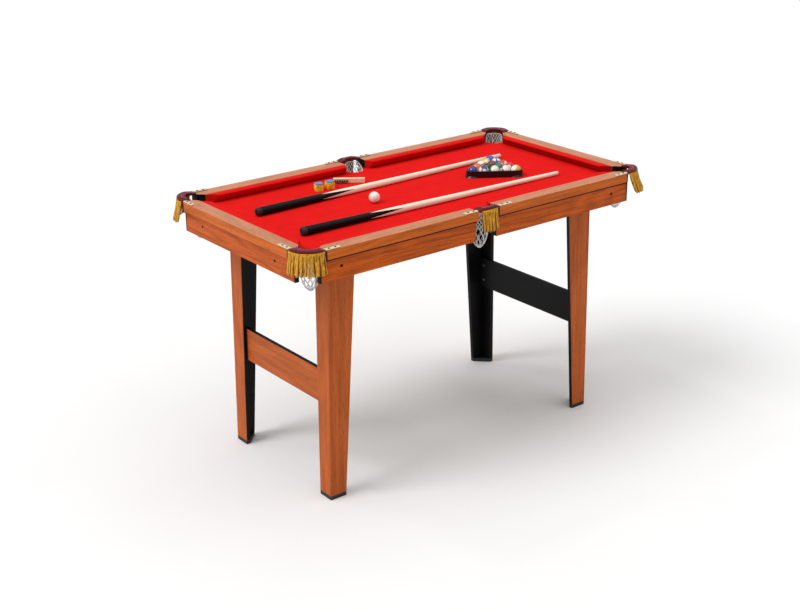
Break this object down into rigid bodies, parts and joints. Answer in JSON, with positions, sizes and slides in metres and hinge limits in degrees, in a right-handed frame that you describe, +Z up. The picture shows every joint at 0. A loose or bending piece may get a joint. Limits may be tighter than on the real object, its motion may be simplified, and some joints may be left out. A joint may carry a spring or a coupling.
{
  "type": "mini pool table",
  "caption": "Small pocket billiards table on splayed legs, red cloth, wood rails, leather pocket collars with fringes and nets, with balls, rack, cues, chalk and brush",
  "frame": {"origin": "on the floor under the middle of the table", "axes": "+X along the table's length, +Y across it towards the far side, +Z up"},
  "size_m": [1.2266, 0.671, 0.7693],
  "materials": {
    "bed_board": "raw board",
    "bed_cloth": "red felt",
    "rail_wood": "satin veneer",
    "cushion_cloth": "red felt over rubber",
    "apron_wood": "satin veneer",
    "frame_wood": "black paint",
    "leg_wood": "satin veneer",
    "stretcher_wood": "satin veneer",
    "leg_feet": "matte",
    "frame_fasteners": "zinc",
    "apron_screws": "black oxide",
    "pocket_collars": "glossy maroon",
    "collar_plates": "satin",
    "plate_screws": "dark bronze",
    "pocket_fringes": "golden yarn",
    "pocket_nets": "grey string",
    "ball_01": "polished",
    "ball_02": "polished",
    "ball_03": "polished",
    "ball_04": "polished",
    "ball_05": "polished",
    "ball_06": "polished",
    "ball_07": "polished",
    "ball_08": "polished",
    "ball_09": "polished",
    "ball_10": "polished",
    "ball_11": "polished",
    "ball_12": "polished",
    "ball_13": "polished",
    "ball_14": "polished",
    "ball_15": "polished",
    "cue_ball": "polished",
    "rack": "polished",
    "cue_wood": "gloss lacquer",
    "chalk": "powdery",
    "brush_handle": "raw",
    "brush_bristles": "bristle"
  },
  "bodies": {
    "table": {"bed_board": "bed_board", "bed_cloth": "bed_cloth", "rail_near_left": "rail_wood", "rail_near_right": "rail_wood", "rail_far_left": "rail_wood", "rail_far_right": "rail_wood", "rail_left_end": "rail_wood", "rail_right_end": "rail_wood", "cushion_near_left": "cushion_cloth", "cushion_near_right": "cushion_cloth", "cushion_far_left": "cushion_cloth", "cushion_far_right": "cushion_cloth", "cushion_left_end": "cushion_cloth", "cushion_right_end": "cushion_cloth", "apron_near_left": "apron_wood", "apron_near_right": "apron_wood", "apron_far_left": "apron_wood", "apron_far_right": "apron_wood", "apron_left_end": "apron_wood", "apron_right_end": "apron_wood", "cross_batten_left": "frame_wood", "cross_batten_right": "frame_wood", "end_blocks": "frame_wood", "leg_near_left": "leg_wood", "leg_near_right": "leg_wood", "leg_far_left": "leg_wood", "leg_far_right": "leg_wood", "stretcher_left": "stretcher_wood", "stretcher_right": "stretcher_wood", "leg_feet": "leg_feet", "frame_fasteners": "frame_fasteners", "apron_screws": "apron_screws", "pocket_collars": "pocket_collars", "collar_plates": "collar_plates", "plate_screws": "plate_screws", "pocket_fringes": "pocket_fringes", "pocket_nets": "pocket_nets"},
    "ball_01": {"ball_01": "ball_01"},
    "ball_02": {"ball_02": "ball_02"},
    "ball_03": {"ball_03": "ball_03"},
    "ball_04": {"ball_04": "ball_04"},
    "ball_05": {"ball_05": "ball_05"},
    "ball_06": {"ball_06": "ball_06"},
    "ball_07": {"ball_07": "ball_07"},
    "ball_08": {"ball_08": "ball_08"},
    "ball_09": {"ball_09": "ball_09"},
    "ball_10": {"ball_10": "ball_10"},
    "ball_11": {"ball_11": "ball_11"},
    "ball_12": {"ball_12": "ball_12"},
    "ball_13": {"ball_13": "ball_13"},
    "ball_14": {"ball_14": "ball_14"},
    "ball_15": {"ball_15": "ball_15"},
    "cue_ball": {"cue_ball": "cue_ball"},
    "cue_far": {"cue_far": "cue_wood"},
    "cue_near": {"cue_near": "cue_wood"},
    "rack": {"rack": "rack"},
    "chalk_left": {"chalk_left": "chalk"},
    "chalk_right": {"chalk_right": "chalk"},
    "brush": {"brush_handle": "brush_handle", "brush_bristles": "brush_bristles"}
  },
  "joints": [
    {"name": "ball_01_lift", "type": "slide", "parent": "table", "child": "ball_01", "axis": [0, 0, 1], "range_m": [0, 0.15]},
    {"name": "ball_02_lift", "type": "slide", "parent": "table", "child": "ball_02", "axis": [0, 0, 1], "range_m": [0, 0.15]},
    {"name": "ball_03_lift", "type": "slide", "parent": "table", "child": "ball_03", "axis": [0, 0, 1], "range_m": [0, 0.15]},
    {"name": "ball_04_lift", "type": "slide", "parent": "table", "child": "ball_04", "axis": [0, 0, 1], "range_m": [0, 0.15]},
    {"name": "ball_05_lift", "type": "slide", "parent": "table", "child": "ball_05", "axis": [0, 0, 1], "range_m": [0, 0.15]},
    {"name": "ball_06_lift", "type": "slide", "parent": "table", "child": "ball_06", "axis": [0, 0, 1], "range_m": [0, 0.15]},
    {"name": "ball_07_lift", "type": "slide", "parent": "table", "child": "ball_07", "axis": [0, 0, 1], "range_m": [0, 0.15]},
    {"name": "ball_08_lift", "type": "slide", "parent": "table", "child": "ball_08", "axis": [0, 0, 1], "range_m": [0, 0.15]},
    {"name": "ball_09_lift", "type": "slide", "parent": "table", "child": "ball_09", "axis": [0, 0, 1], "range_m": [0, 0.15]},
    {"name": "ball_10_lift", "type": "slide", "parent": "table", "child": "ball_10", "axis": [0, 0, 1], "range_m": [0, 0.15]},
    {"name": "ball_11_lift", "type": "slide", "parent": "table", "child": "ball_11", "axis": [0, 0, 1], "range_m": [0, 0.15]},
    {"name": "ball_12_lift", "type": "slide", "parent": "table", "child": "ball_12", "axis": [0, 0, 1], "range_m": [0, 0.15]},
    {"name": "ball_13_lift", "type": "slide", "parent": "table", "child": "ball_13", "axis": [0, 0, 1], "range_m": [0, 0.15]},
    {"name": "ball_14_lift", "type": "slide", "parent": "table", "child": "ball_14", "axis": [0, 0, 1], "range_m": [0, 0.15]},
    {"name": "ball_15_lift", "type": "slide", "parent": "table", "child": "ball_15", "axis": [0, 0, 1], "range_m": [0, 0.15]},
    {"name": "cue_ball_lift", "type": "slide", "parent": "table", "child": "cue_ball", "axis": [0, 0, 1], "range_m": [0, 0.15]},
    {"name": "cue_far_lift", "type": "slide", "parent": "table", "child": "cue_far", "axis": [0, 0, 1], "range_m": [0, 0.15]},
    {"name": "cue_near_lift", "type": "slide", "parent": "table", "child": "cue_near", "axis": [0, 0, 1], "range_m": [0, 0.15]},
    {"name": "rack_lift", "type": "slide", "parent": "table", "child": "rack", "axis": [0, 0, 1], "range_m": [0, 0.15]},
    {"name": "chalk_left_lift", "type": "slide", "parent": "table", "child": "chalk_left", "axis": [0, 0, 1], "range_m": [0, 0.15]},
    {"name": "chalk_right_lift", "type": "slide", "parent": "table", "child": "chalk_right", "axis": [0, 0, 1], "range_m": [0, 0.15]},
    {"name": "brush_lift", "type": "slide", "parent": "table", "child": "brush", "axis": [0, 0, 1], "range_m": [0, 0.15]}
  ]
}
